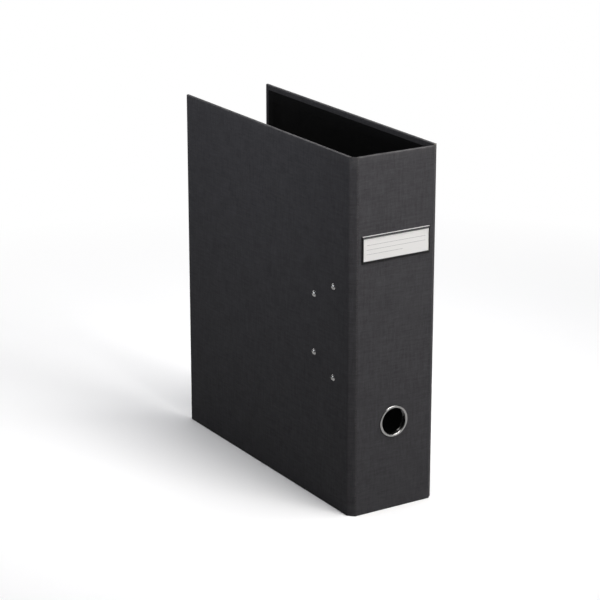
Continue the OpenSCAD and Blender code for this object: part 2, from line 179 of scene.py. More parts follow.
def buildHandling():
    # fine scratches and finger haze on plated metal and moulded plastic
    group, source, sink = newGroup("Handling", {"Base Roughness": 0.2, "Haze": 0.12, "Scratch": 0.3},
                                   ("Roughness", "Height", "Tone"))
    vector = source.outputs["Vector"]
    haze = noiseAt(group, vector, 90.0, 4.0, 0.6)
    lines = noiseAt(group, stretched(group, vector, 300.0, 4000.0, 900.0), 1.0, 2.0, 0.5)
    scratch = times(group, minus(group, lines, 0.5), source.outputs["Scratch"])
    rough = maths(group, "MULTIPLY_ADD", minus(group, haze, 0.45), source.outputs["Haze"],
                  source.outputs["Base Roughness"])
    link(group, plus(group, rough, times(group, scratch, 0.2), clamp=True),
         sink.inputs["Roughness"])
    link(group, scratch, sink.inputs["Height"])
    link(group, maths(group, "MULTIPLY_ADD", haze, 0.16, 0.92), sink.inputs["Tone"])
    return group


def buildFibre():
    # pressed paper and board: short fibres lying every way
    group, source, sink = newGroup("PaperFibre", {"Scale": 900.0, "Depth": 0.2}, ("Shade", "Height"))
    vector = source.outputs["Vector"]
    fine = group.nodes.new("ShaderNodeTexNoise")
    link(group, vector, fine.inputs["Vector"])
    link(group, source.outputs["Scale"], fine.inputs["Scale"])
    setInputs(fine, Detail=4.0, Distortion=1.5)
    cloud = noiseAt(group, vector, 70.0, 3.0, 0.6)
    both = plus(group, times(group, fine.outputs["Fac"], 0.7), times(group, cloud, 0.3))
    spread = times(group, minus(group, both, 0.5), source.outputs["Depth"])
    link(group, plus(group, spread, 1.0), sink.inputs["Shade"])
    link(group, both, sink.inputs["Height"])
    return group


weaveGroup = buildLinenWeave()
wearAndHighlightGroup = buildEdgeWearAndHighlight()
handlingGroup = buildHandling()
fibreGroup = buildFibre()
print("node groups built")


# materials

def newMaterial(name, roughness, metallic=0.0, specular=0.5, sheen=0.0):
    material = bpy.data.materials.new(name)
    material.use_nodes = True
    tree = material.node_tree
    shader = tree.nodes["Principled BSDF"]
    setInputs(shader, Roughness=roughness, Metallic=metallic, Specular_IOR_Level=specular, Sheen_Weight=sheen)
    return material, tree, shader


def place(tree, group, vector, **values):
    node = tree.nodes.new("ShaderNodeGroup")
    node.node_tree = group
    link(tree, vector, node.inputs["Vector"])
    setInputs(node, **values)
    return node


def clothCoordinates(tree):
    node = tree.nodes.new("ShaderNodeUVMap")
    node.uv_map = "cloth"
    return node.outputs["UV"]


def objectCoordinates(tree):
    return tree.nodes.new("ShaderNodeTexCoord").outputs["Object"]


def edgeMask(tree):
    node = tree.nodes.new("ShaderNodeAttribute")
    node.attribute_name = "edge"
    return node.outputs["Fac"]


def bumped(tree, shader, height, distance, strength):
    node = tree.nodes.new("ShaderNodeBump")
    setInputs(node, Distance=distance, Strength=strength)
    link(tree, height, node.inputs["Height"])
    link(tree, node.outputs["Normal"], shader.inputs["Normal"])


def shaded(tree, colour, factor):
    # the colour times a grey factor
    grey = tree.nodes.new("ShaderNodeCombineColor")
    for channel in range(3):
        link(tree, factor, grey.inputs[channel])
    return blendColours(tree, 1.0, colour, grey.outputs[0], "MULTIPLY")


coveringPaper = {
    "colour": (0.0470, 0.0456, 0.0494, 1),
    # pale edge colour: worn paper, and a painted highlight on the top edges lit from above
    "wornAndLitEdgeColour": (0.15, 0.147, 0.145, 1),
    "roughness": 0.72,
    "threadPitch": 0.55 * mm,
    "slub": 1.1, "mottle": 0.32,
    "wearAndHighlight": 0.5,
}


def makeCoveringMaterial():
    roughness = coveringPaper["roughness"]
    material, tree, shader = newMaterial("linenCovering", roughness, specular=0.16, sheen=0.02)
    setInputs(shader, Sheen_Roughness=0.5)
    weave = place(tree, weaveGroup, clothCoordinates(tree), Thread_Pitch=coveringPaper["threadPitch"],
                  Slub=coveringPaper["slub"], Mottle=coveringPaper["mottle"])
    wearAndHighlight = place(tree, wearAndHighlightGroup, objectCoordinates(tree), Amount=coveringPaper["wearAndHighlight"])
    link(tree, edgeMask(tree), wearAndHighlight.inputs["Mask"])
    colour = shaded(tree, coveringPaper["colour"], weave.outputs["Shade"])
    # pale edges: real rubbing, and a painted highlight on the top edges where light falls from above
    colour = blendColours(tree, wearAndHighlight.outputs["WearAndHighlight"], colour, coveringPaper["wornAndLitEdgeColour"])
    link(tree, colour, shader.inputs["Base Color"])
    link(tree, maths(tree, "MULTIPLY_ADD", weave.outputs["Shade"], -0.12, roughness + 0.12),
         shader.inputs["Roughness"])
    bumped(tree, shader, weave.outputs["Height"], 0.12 * mm, 0.6)
    return material


def makePaperMaterial(name, colour, roughness, scale, depth, bump):
    material, tree, shader = newMaterial(name, roughness, specular=0.15)
    fibre = place(tree, fibreGroup, objectCoordinates(tree), Scale=scale, Depth=depth)
    link(tree, shaded(tree, colour, fibre.outputs["Shade"]), shader.inputs["Base Color"])
    link(tree, times(tree, fibre.outputs["Shade"], roughness), shader.inputs["Roughness"])
    bumped(tree, shader, fibre.outputs["Height"], bump, 0.5)
    return material


def makeMetalMaterial(name, colour, roughness, haze, scratch):
    material, tree, shader = newMaterial(name, roughness, metallic=1.0)
    handling = place(tree, handlingGroup, objectCoordinates(tree), Base_Roughness=roughness, Haze=haze,
                     Scratch=scratch)
    link(tree, shaded(tree, colour, handling.outputs["Tone"]), shader.inputs["Base Color"])
    link(tree, handling.outputs["Roughness"], shader.inputs["Roughness"])
    bumped(tree, shader, handling.outputs["Height"], 0.02 * mm, 0.3)
    return material


rollerPlastic = {"colour": (0.02, 0.02, 0.021, 1), "roughness": 0.42}


def makePlasticMaterial():
    roughness = rollerPlastic["roughness"]
    material, tree, shader = newMaterial("mouldedBlack", roughness)
    handling = place(tree, handlingGroup, objectCoordinates(tree), Base_Roughness=roughness, Haze=0.2,
                     Scratch=0.2)
    link(tree, shaded(tree, rollerPlastic["colour"], handling.outputs["Tone"]), shader.inputs["Base Color"])
    link(tree, handling.outputs["Roughness"], shader.inputs["Roughness"])
    bumped(tree, shader, handling.outputs["Height"], 0.05 * mm, 0.4)
    return material


labelCard = {
    "colour": (0.755, 0.748, 0.738, 1),
    "ink": (0.34, 0.34, 0.35, 1),
    "lineWidth": 0.28 * mm,
    "roughness": 0.55,
    # each line's height in mm, and where it starts and ends as shares of the width
    "lines": ((3.4, 0.06, 0.94), (-0.6, 0.06, 0.94), (-4.6, 0.06, 0.60)),
}


def makeCardMaterial():
    # faint printed rules to write on, at set heights across the card
    material, tree, shader = newMaterial("labelCard", labelCard["roughness"], specular=0.3)
    fibre = place(tree, fibreGroup, objectCoordinates(tree), Scale=700.0, Depth=0.05)
    split = tree.nodes.new("ShaderNodeSeparateXYZ")
    link(tree, clothCoordinates(tree), split.inputs[0])
    ink = None
    for height, start, end in labelCard["lines"]:
        off = maths(tree, "ABSOLUTE", minus(tree, split.outputs[1], height * mm))
        on = maths(tree, "LESS_THAN", off, labelCard["lineWidth"] / 2)
        on = times(tree, on, maths(tree, "GREATER_THAN", split.outputs[0], start))
        on = times(tree, on, maths(tree, "LESS_THAN", split.outputs[0], end))
        ink = on if ink is None else maths(tree, "MAXIMUM", ink, on)
    colour = shaded(tree, labelCard["colour"], fibre.outputs["Shade"])
    link(tree, blendColours(tree, ink, colour, labelCard["ink"]), shader.inputs["Base Color"])
    link(tree, times(tree, fibre.outputs["Shade"], labelCard["roughness"]), shader.inputs["Roughness"])
    bumped(tree, shader, fibre.outputs["Height"], 0.02 * mm, 0.4)
    return material


materials = {
    "covering_paper": makeCoveringMaterial(),
    "lining_paper": makePaperMaterial("blackLining", (0.0022, 0.0022, 0.0024, 1), 0.9, 1400.0, 0.5,
                                      0.05 * mm),
    "grey_board": makePaperMaterial("greyBoard", (0.27, 0.25, 0.22, 1), 0.9, 900.0, 0.4, 0.15 * mm),
    "bright_nickel": makeMetalMaterial("brightNickel", (0.52, 0.514, 0.504, 1), 0.22, 0.12, 0.3),
    "dark_nickel": makeMetalMaterial("darkNickel", (0.045, 0.045, 0.046, 1), 0.38, 0.12, 0.25),
    "plated_steel": makeMetalMaterial("zincSteel", (0.52, 0.52, 0.53, 1), 0.34, 0.2, 0.5),
    "label_card": makeCardMaterial(),
    "roller_plastic": makePlasticMaterial(),
}
for part in record["subparts"]:
    node = frame["nodes"][part["node"]]
    node.data.materials.clear()
    node.data.materials.append(materials[part["material_slot"]])
print("materials built:", len(materials))


# mesh helpers

def addObject(name, data):
    item = bpy.data.objects.new(name, data)
    bpy.context.scene.collection.objects.link(item)
    return item


def makePiece(name, shape, slotName, uvs=None, edges=None, sharp=35.0):
    verts, faces = shape
    mesh = bpy.data.meshes.new(name)
    mesh.from_pydata([tuple(v) for v in verts], [], faces)
    if uvs:
        layer = mesh.uv_layers.new(name="cloth")
        for loop in mesh.loops:
            layer.data[loop.index].uv = uvs[loop.vertex_index]
    if edges:
        attribute = mesh.attributes.new("edge", "FLOAT", "POINT")
        attribute.data.foreach_set("value", edges)
    work = bmesh.new()
    work.from_mesh(mesh)
    bmesh.ops.recalc_face_normals(work, faces=work.faces)
    work.to_mesh(mesh)
    work.free()
    mesh.shade_smooth()
    mesh.set_sharp_from_angle(angle=math.radians(sharp))
    mesh.materials.append(materials[slotName])
    piece = addObject(name, mesh)
    return piece


def standFor(piece, body, node):
    # the piece moves with the body and is seen in place of the node
    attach(piece, body)
    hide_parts(node)


def joined(shapes):
    verts, faces = [], []
    for shapeVerts, shapeFaces in shapes:
        start = len(verts)
        verts += shapeVerts
        faces += [tuple(start + i for i in face) for face in shapeFaces]
    return verts, faces


def closedSheet(name, us, vs, front, back, slotName, uv=lambda u, v: (u, v), edge=None, sharp=35.0):
    # two grids over the same stations, joined round their border
    nu, nv = len(us), len(vs)
    verts, uvs, edges = [], [], []
    for face in (front, back):
        for u in us:
            for v in vs:
                verts.append(face(u, v))
                uvs.append(uv(u, v))
                edges.append(edge(u, v) if edge else 0.0)
    faces = []
    for side in (0, 1):
        start = side * nu * nv
        for i in range(nu - 1):
            for j in range(nv - 1):
                a = start + i * nv + j
                faces.append((a, a + nv, a + nv + 1, a + 1))
    rim = ([i * nv for i in range(nu)] + [(nu - 1) * nv + j for j in range(1, nv)]
           + [i * nv + nv - 1 for i in range(nu - 2, -1, -1)] + [j for j in range(nv - 2, 0, -1)])
    for a, b in zip(rim, rim[1:] + rim[:1]):
        faces.append((a, b, b + nu * nv, a + nu * nv))
    return makePiece(name, (verts, faces), slotName, uvs, edges, sharp)


def turned(profile, centre, axis, steps=72, closed=False):
    # a section of (radius, height) points turned about the axis; an open one gets flat ends
    axis = Vector(axis).normalized()
    across = axis.orthogonal().normalized()
    other = axis.cross(across)
    verts = []
    for k in range(steps):
        angle = 2 * math.pi * k / steps
        out = across * math.cos(angle) + other * math.sin(angle)
        verts += [Vector(centre) + out * r + axis * h for r, h in profile]
    n = len(profile)
    faces = []
    for k in range(steps):
        a, b = k * n, (k + 1) % steps * n
        faces += [(a + i, b + i, b + (i + 1) % n, a + (i + 1) % n) for i in range(n if closed else n - 1)]
    if not closed:
        faces += [tuple(k * n for k in range(steps)), tuple(k * n + n - 1 for k in range(steps))]
    return verts, faces


def arcPoints(centre, r, start, end, steps):
    angles = [math.radians(start + (end - start) * k / steps) for k in range(steps + 1)]
    return [(centre[0] + r * math.cos(a), centre[1] + r * math.sin(a)) for a in angles]


def roundedPath(corners, radii, steps=8):
    # straight runs with a fillet of the given radius at each inner corner
    points = [Vector(corners[0])]
    for i in range(1, len(corners) - 1):
        p, r = Vector(corners[i]), radii[i - 1]
        back = (Vector(corners[i - 1]) - p).normalized()
        ahead = (Vector(corners[i + 1]) - p).normalized()
        half = back.angle(ahead) / 2
        centre = p + (back + ahead).normalized() * (r / math.sin(half))
        start = p + back * (r / math.tan(half)) - centre
        turn = math.pi - 2 * half
        axis = start.cross(ahead).normalized()
        for k in range(steps + 1):
            points.append(centre + Matrix.Rotation(turn * k / steps, 3, axis) @ start)
    points.append(Vector(corners[-1]))
    kept = [points[0]]
    for p in points[1:]:
        if (p - kept[-1]).length > 1e-6:
            kept.append(p)
    return kept


def bentWire(path, r, sides=24, tip=()):
    # round wire along the path; tip lists (distance past the end, radius) for both ends
    end = len(path) - 1
    tangents = [(path[min(i + 1, end)] - path[max(i - 1, 0)]).normalized() for i in range(end + 1)]
    across = tangents[0].orthogonal().normalized()
    rings = []
    for p, t in zip(path, tangents):
        across = (across - t * across.dot(t)).normalized()
        rings.append((p, across.copy(), t.cross(across), r))
    first, last = rings[0], rings[-1]
    rings = [(first[0] - tangents[0] * d, first[1], first[2], w) for d, w in reversed(tip)] + rings
    rings += [(last[0] + tangents[-1] * d, last[1], last[2], w) for d, w in tip]
    verts = []
    for p, x, y, w in rings:
        verts += [p + (x * math.cos(a) + y * math.sin(a)) * w
                  for a in (2 * math.pi * k / sides for k in range(sides))]
    faces = []
    for i in range(len(rings) - 1):
        for k in range(sides):
            a, b = i * sides + k, i * sides + (k + 1) % sides
            faces.append((a, b, b + sides, a + sides))
    end = (len(rings) - 1) * sides
    faces += [tuple(range(sides)), tuple(end + k for k in range(sides))]
    return verts, faces


def spread(start, end, step):
    # stations from start to end no more than a step apart
    count = max(1, math.ceil(abs(end - start) / step - 1e-9))
    return [start + (end - start) * k / count for k in range(count + 1)]


def roundStations(r, steps=4):
    # distances in from an edge that a quarter round of radius r needs
    return [r * (1 - math.cos(math.pi / 2 * k / steps)) for k in range(steps)] + [r]


def smoothStep(t):
    t = min(1.0, max(0.0, t))
    return t * t * (3 - 2 * t)


def cutWith(piece, cutter):
    # takes the cutter's shape out of the piece and removes the cutter
    modifier = piece.modifiers.new("cut", "BOOLEAN")
    modifier.operation, modifier.solver, modifier.object = "DIFFERENCE", "EXACT", cutter
    bpy.context.view_layer.update()
    result = bpy.data.meshes.new_from_object(piece.evaluated_get(bpy.context.evaluated_depsgraph_get()))
    piece.modifiers.clear()
    piece.data = result
    result.set_sharp_from_angle(angle=math.radians(35))
    bpy.data.objects.remove(cutter)


# the case: covering and lining of the three boards

rearLow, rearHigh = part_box("rear_cover_paper")
spineLow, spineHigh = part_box("spine_paper")
frontLow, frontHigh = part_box("front_cover_paper")
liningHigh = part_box("rear_liner")[1]
caseTop = rearHigh.z
foldDepth = rearHigh.x - rearLow.x         # outer face to the folded-over paper inside
liningTop = liningHigh.x - rearLow.x       # outer face to the lining over the folded paper
paperSkin = {
    "edgeR": 0.75 * mm,
    "fold": 15 * mm,          # width of paper folded over the edges
    "paper": 0.3 * mm,
    "waviness": 0.09 * mm,
    "wornLitReach": 2.2 * mm,          # how far in from an edge the paper is rubbed and carries the painted highlight
    "creaseReach": 0.9 * mm,  # how far a crease piece reaches onto a board
    "step": 9 * mm,
}
liningSkin = {"inset": 5 * mm, "sheet": liningTop - foldDepth, "ramp": 1.2 * mm, "edgeR": 0.2 * mm}


def onRear(u, v, depth):
    return Vector((rearLow.x + depth, u, v))


def onFront(u, v, depth):
    return Vector((frontHigh.x - depth, u, v))


def onSpine(u, v, depth):
    return Vector((u, spineLow.y + depth, v))


def boardUnevenness(u, v, seed):
    # boards are never quite flat: a slow wave under the paper
    return noise.noise(Vector((u * 14, v * 14, seed))) * paperSkin["waviness"]


def edgeDistances(u, v, span, wrapped):
    # distance in from each wrapped edge: low end, high end, bottom and top
    return [u - span[0] if wrapped[0] else 1.0, span[1] - u if wrapped[1] else 1.0, v, caseTop - v]


def roundOff(u, v, span, wrapped, r):
    # the point pulled in to a round corner, and how far the face falls away there
    low, high, bottom, top = edgeDistances(u, v, span, wrapped)
    a, b = max(0.0, r - min(low, high)), max(0.0, r - min(bottom, top))
    reach = math.hypot(a, b)
    if reach > r:
        shrink = r / reach
        u += (a - a * shrink) * (1 if low < high else -1)
        v += (b - b * shrink) * (1 if bottom < top else -1)
        reach = r
    return u, v, r - math.sqrt(max(0.0, r * r - reach * reach))


def stations(low, high, wrappedLow, wrappedHigh, r, extra, step):
    # grid lines: close together at round edges and at the step of the folded paper
    marks = {low, high}
    if wrappedLow:
        marks |= {low + d for d in roundStations(r)} | {low + d for d in extra}
    if wrappedHigh:
        marks |= {high - d for d in roundStations(r)} | {high - d for d in extra}
    kept = []
    for m in sorted(marks):
        if not kept or m - kept[-1] > 1e-6:
            kept.append(m)
    out = []
    for a, b in zip(kept, kept[1:]):
        out += spread(a, b, step)[:-1]
    return out + [kept[-1]]


def foldStep(u, v, span, wrapped):
    # 1 over the folded paper, 0 on the bare board, with a short ramp between
    d = min(edgeDistances(u, v, span, wrapped))
    return 1 - smoothStep((d - paperSkin["fold"]) / liningSkin["ramp"] + 0.5)


def coverPanel(name, place, span, wrapped, seed):
    # the covered board as one closed slab, up to where the crease pieces take over
    r = paperSkin["edgeR"]
    half = liningSkin["ramp"] / 2
    extra = [r + 0.6 * mm, paperSkin["fold"] - half, paperSkin["fold"], paperSkin["fold"] + half]
    us = stations(span[0], span[1], wrapped[0], wrapped[1], r, extra, paperSkin["step"])
    vs = stations(0, caseTop, True, True, r, extra, paperSkin["step"])

    def calm(u, v):
        # the wave dies out at every edge, so that neighbours meet
        d = min(u - span[0], span[1] - u, v, caseTop - v)
        return boardUnevenness(u, v, seed) * smoothStep(d / (12 * mm))

    def outer(u, v):
        x, z, fall = roundOff(u, v, span, wrapped, r)
        return place(x, z, fall + max(0.0, calm(u, v)))

    def inner(u, v):
        x, z, fall = roundOff(u, v, span, wrapped, r)
        depth = foldDepth - paperSkin["paper"] * (1 - foldStep(u, v, span, wrapped))
        return place(x, z, depth - fall)

    def wornAndLitEdges(u, v):
        # pale edge mark, partly rubbing and partly painted light: strongest at the top edges as a painted
        # highlight from above, faint at the bottom edges, which are left dark as painted shade
        low, high, bottom, top = edgeDistances(u, v, span, wrapped)
        near = [1 - smoothStep(d / paperSkin["wornLitReach"]) for d in (min(low, high), bottom, top)]
        return max(0.7 * near[0], 0.1 * near[1], near[2])

    return closedSheet(name, us, vs, outer, inner, "covering_paper", edge=wornAndLitEdges)


def liningPanel(name, place, span, wrapped):
    inset, r = liningSkin["inset"], liningSkin["edgeR"]
    half = liningSkin["ramp"] / 2
    extra = [paperSkin["fold"] - inset - half, paperSkin["fold"] - inset, paperSkin["fold"] - inset + half]
    low = span[0] + (inset if wrapped[0] else 0)
    high = span[1] - (inset if wrapped[1] else 0)
    us = stations(low, high, wrapped[0], wrapped[1], r, extra, 2 * paperSkin["step"])
    vs = stations(inset, caseTop - inset, True, True, r, extra, 2 * paperSkin["step"])

    def base(u, v):
        return foldDepth - paperSkin["paper"] * (1 - foldStep(u, v, span, wrapped))

    def shown(u, v):
        d = min(u - low if wrapped[0] else 1.0, high - u if wrapped[1] else 1.0, v - inset,
                caseTop - inset - v)
        fall = r - math.sqrt(max(0.0, r * r - max(0.0, r - d) ** 2))
        return place(u, v, base(u, v) + liningSkin["sheet"] - fall)

    def glued(u, v):
        return place(u, v, base(u, v) - 0.02 * mm)

    return closedSheet(name, us, vs, shown, glued, "lining_paper")


reach = paperSkin["creaseReach"]
panels = {
    "rear": (onRear, (rearLow.y + reach, rearHigh.y), (False, True), "rear_cover"),
    "front": (onFront, (frontLow.y + reach, frontHigh.y), (False, True), "front_cover"),
    "spine": (onSpine, (spineLow.x + reach, spineHigh.x - reach), (False, False), "spine"),
}
panelPieces = {}
for seed, (side, (place3d, span, wrapped, body)) in enumerate(panels.items()):
    covering = coverPanel(side + "Covering", place3d, span, wrapped, seed * 7.3)
    lining = liningPanel(side + "Lining", place3d, span, wrapped)
    panelPieces[side] = (covering, lining, body)
print("boards covered and lined")

# the finger hole goes through the spine

ringLow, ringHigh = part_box("finger_ring")
ringCentre = (ringLow + ringHigh) / 2
fingerRing = {
    "boreR": 12.0 * mm,
    "flangeR": (ringHigh.x - ringLow.x) / 2,
    "proud": spineLow.y - ringLow.y,
    "tail": ringHigh.y - spineLow.y,
    "wall": 0.4 * mm,
    "rollR": 13.6 * mm,
    "rollT": 0.8 * mm,
}
ringAt = (ringCentre.x, spineLow.y, ringCentre.z)
holeR = fingerRing["boreR"] + fingerRing["wall"]
for piece in panelPieces["spine"][:2]:
    hole = turned([(holeR, -20 * mm), (holeR, 20 * mm)], ringAt, (0, 1, 0), 96)
    cutWith(piece, makePiece("cutter", hole, "covering_paper"))
for side, (covering, lining, body) in panelPieces.items():
    standFor(covering, body, body + "_paper")
    standFor(lining, body, side + "_liner")

# creases: paper that bends between a board, the bevel strip and the next board

crease = {
    "groove": {"cover": 0.10 * mm, "spine": 0.20 * mm},
    "grooveWidth": 1.1 * mm,
    "bendR": {"cover": 2.0 * mm, "spine": 1.1 * mm},
    "turn": 0.7 * mm,
    "edgeR": 0.14 * mm,
    "liningGap": 0.12 * mm,
    "liningBends": ([0.25 * mm] * 4, [0.4 * mm, 0.3 * mm, 0.3 * mm, 0.4 * mm]),   # glued side, shown side
}


def bevelPath(side, depth):
    # plan corners of the bevel at one depth: on the cover, at both creases and on the spine
    sign = -1 if side == "rear" else 1
    coverPivot = jointAt[side + "_cover_crease"]
    spinePivot = jointAt[side + "_spine_crease"]
    shift = depth * math.tan(math.pi / 8)
    onCover = Vector((coverPivot.x - sign * depth, coverPivot.y + reach, 0))
    atCover = Vector((coverPivot.x - sign * depth, coverPivot.y + shift, 0))
    atSpine = Vector((spinePivot.x - sign * shift, spinePivot.y + depth, 0))
    onSpineEnd = Vector((spinePivot.x - sign * reach, spinePivot.y + depth, 0))
    return onCover, atCover, atSpine, onSpineEnd


def bevelStations(side):
    # matching points of the outer and inner skin, cover to spine, with their place along the cloth
    radii = [crease["bendR"]["cover"], crease["bendR"]["spine"]]
    outer = roundedPath(bevelPath(side, 0.0), radii, 6)
    inner = roundedPath(bevelPath(side, paperSkin["paper"]), [r - paperSkin["paper"] for r in radii], 6)
    dense = []
    for a, b, c, d in zip(outer, outer[1:], inner, inner[1:]):
        parts = 6 if (b - a).length > 2 * mm else 1
        dense += [(a.lerp(b, k / parts), c.lerp(d, k / parts)) for k in range(parts)]
    dense.append((outer[-1], inner[-1]))
    return dense


def creaseHalves(side, middle, end):
    # the piece over the cover's crease, then the one over the spine's, each with its two bodies
    return (("Cover", list(range(middle + 1)), (side + "_cover", side + "_hinge")),
            ("Spine", list(range(middle, end + 1)), (side + "_hinge", "spine")))


def creaseSkin(side):
    sign = -1 if side == "rear" else 1
    pairs = bevelStations(side)
    along = [0.0]
    for (a, _), (b, _) in zip(pairs, pairs[1:]):
        along.append(along[-1] + (b - a).length)
    coverPivot, spinePivot = jointAt[side + "_cover_crease"], jointAt[side + "_spine_crease"]
    middle = min(range(len(pairs)), key=lambda i: abs(along[i] - along[-1] / 2))
    inward = [(c - a).normalized() for a, c in pairs]
    r = crease["edgeR"]
    vs = stations(0, caseTop, True, True, r, [0.6 * mm], 12 * mm)

    def grooved(i):
        depths = []
        for name, pivot in (("cover", coverPivot), ("spine", spinePivot)):
            away = (pairs[i][0].xy - pivot.xy).length / crease["grooveWidth"]
            depths.append(crease["groove"][name] * (1 - smoothStep(away)))
        return max(depths)

    def skin(i, v, face):
        fall = r - math.sqrt(max(0.0, r * r - max(0.0, r - min(v, caseTop - v)) ** 2))
        p = pairs[i][face] + inward[i] * (grooved(i) + (-fall if face else fall))
        return Vector((p.x, p.y, v))

    made = []
    for label, columns, bodies in creaseHalves(side, middle, len(pairs) - 1):
        # only the top edge gets the pale mark: partly rubbing, partly a painted highlight from light above
        piece = closedSheet(side + "Crease" + label, columns, vs, lambda i, v: skin(i, v, 0),
                            lambda i, v: skin(i, v, 1), "covering_paper",
                            uv=lambda i, v: (along[i] - sign * 0.3, v),
                            edge=lambda i, v: 1 - smoothStep((caseTop - v) / paperSkin["wornLitReach"]))
        made.append((piece, bodies, label))
    return made


def creaseLining(side):
    # black paper from one board's inner face, down into the groove, over the strip and up again
    sign = -1 if side == "rear" else 1
    coverPivot, spinePivot = jointAt[side + "_cover_crease"], jointAt[side + "_spine_crease"]
    boardDepth = foldDepth - paperSkin["paper"]
    gap = crease["liningGap"]

    def section(extra):
        top, low = boardDepth + extra, paperSkin["paper"] + 0.02 * mm + extra
        shift = low * math.sqrt(2)
        return [
            Vector((coverPivot.x - sign * top, coverPivot.y + reach, 0)),
            Vector((coverPivot.x - sign * top, coverPivot.y - gap - extra, 0)),
            Vector((coverPivot.x - sign * (shift + gap + extra), coverPivot.y - gap - extra, 0)),
            Vector((spinePivot.x + sign * (gap + extra), spinePivot.y + shift + gap + extra, 0)),
            Vector((spinePivot.x + sign * (gap + extra), spinePivot.y + top, 0)),
            Vector((spinePivot.x - sign * reach, spinePivot.y + top, 0)),
        ]

    glued = roundedPath(section(0.0), crease["liningBends"][0], 4)
    shown = roundedPath(section(liningSkin["sheet"]), crease["liningBends"][1], 4)
    long = max(range(len(glued) - 1), key=lambda i: (glued[i + 1] - glued[i]).length)
    pairs = []
    for i in range(len(glued) - 1):
        parts = 6 if i == long else 1
        pairs += [(glued[i].lerp(glued[i + 1], k / parts), shown[i].lerp(shown[i + 1], k / parts))
                  for k in range(parts)]
    pairs.append((glued[-1], shown[-1]))
    middle = long + 3
    inset = liningSkin["inset"]
    vs = spread(inset, caseTop - inset, 12 * mm)
    made = []
    for label, columns, bodies in creaseHalves(side, middle, len(pairs) - 1):
        piece = closedSheet(side + "CreaseLining" + label, columns, vs,
                            lambda i, v: Vector((pairs[i][1].x, pairs[i][1].y, v)),
                            lambda i, v: Vector((pairs[i][0].x, pairs[i][0].y, v)), "lining_paper")
        made.append((piece, bodies, label))
    return made


for side in ("rear", "front"):
    sign = -1 if side == "rear" else 1
    coverPivot, spinePivot = jointAt[side + "_cover_crease"], jointAt[side + "_spine_crease"]
    turn = crease["turn"]
    zones = {
        "Cover": (coverPivot + Vector((0, turn, 0)), coverPivot - Vector((0, turn, 0))),
        "Spine": (spinePivot + Vector((sign * turn, 0, 0)), spinePivot - Vector((sign * turn, 0, 0))),
    }
    for build, node in ((creaseSkin, side + "_hinge_paper"), (creaseLining, side + "_hinge_liner")):
        for piece, (coverSide, spineSide), label in build(side):
            start, end = zones[label]
            if side == "front":
                coverSide, spineSide, start, end = spineSide, coverSide, end, start
            if build is creaseLining:
                # the bend's limits are moved past the paper on a board's end, but nothing below uses them
                away = Vector((0, -turn, 0)) if label == "Cover" else Vector((sign * turn, 0, 0))
                start, end = start + away, end + away
            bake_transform(piece)
            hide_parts(node)
print("creases made")

# finger ring

r0, r1 = fingerRing["boreR"], fingerRing["flangeR"]
proud, tail = fingerRing["proud"], fingerRing["tail"]
lipR = proud / 2
rollR, rollT, wall = fingerRing["rollR"], fingerRing["rollT"], fingerRing["wall"]
section = arcPoints((r1 - lipR, lipR), lipR, -90, 90, 6)                 # outer lip, from the spine's face up
section += arcPoints((r0 + lipR * 1.3, proud - lipR * 1.3), lipR * 1.3, 90, 180, 6)
section += arcPoints((r0 + rollT / 2, rollT / 2 - tail), rollT / 2, 180, 270, 5)
section += arcPoints((rollR - rollT / 2, rollT / 2 - tail), rollT / 2, -90, 90, 6)
section += [(r0 + wall, rollT - tail), (r0 + wall, 0)]
standFor(makePiece("fingerRing", turned(section, ringAt, (0, -1, 0), 128, closed=True), "bright_nickel"),
         "spine", "finger_ring")

washerLow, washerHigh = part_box("finger_ring_washer")
inner, outer = r0 + wall + 0.02 * mm, (washerHigh.x - washerLow.x) / 2
near, far = washerLow.y - spineLow.y, washerHigh.y - spineLow.y
soft = 0.15 * mm
section = [(inner, -near), (outer - soft, -near), (outer, -near - soft), (outer, -far + soft),
           (outer - soft, -far), (inner + soft, -far), (inner, -far + soft)]
standFor(makePiece("ringWasher", turned(section, ringAt, (0, -1, 0), 96, closed=True), "plated_steel"),
         "spine", "finger_ring_washer")

# label holder and card

holderLow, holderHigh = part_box("label_holder")
labelHolder = {
    "sideLip": 1.4 * mm,
    "topLip": 2.3 * mm,
    "bottomLip": 2.0 * mm,
    "sheet": 0.5 * mm,
    "proud": spineLow.y - holderLow.y,
}


def mitredBars(section, corners):
    # a section of (share of the lip, height) run round the frame's corners, with a mitre at each
    verts = []
    for atRight, atTop in corners:
        for share, height in section:
            side = share * labelHolder["sideLip"]
            end = share * labelHolder["topLip" if atTop else "bottomLip"]
            verts.append(Vector((holderHigh.x - side if atRight else holderLow.x + side, spineLow.y - height,
                                 holderHigh.z - end if atTop else holderLow.z + end)))
    n, faces = len(section), []
    for k in range(len(corners) - 1):
        a, b = k * n, (k + 1) * n
        faces += [(a + i, b + i, b + (i + 1) % n, a + (i + 1) % n) for i in range(n)]
    faces += [tuple(range(n)), tuple((len(corners) - 1) * n + i for i in range(n))]
    return verts, faces


high = labelHolder["proud"]
under = high - labelHolder["sheet"]
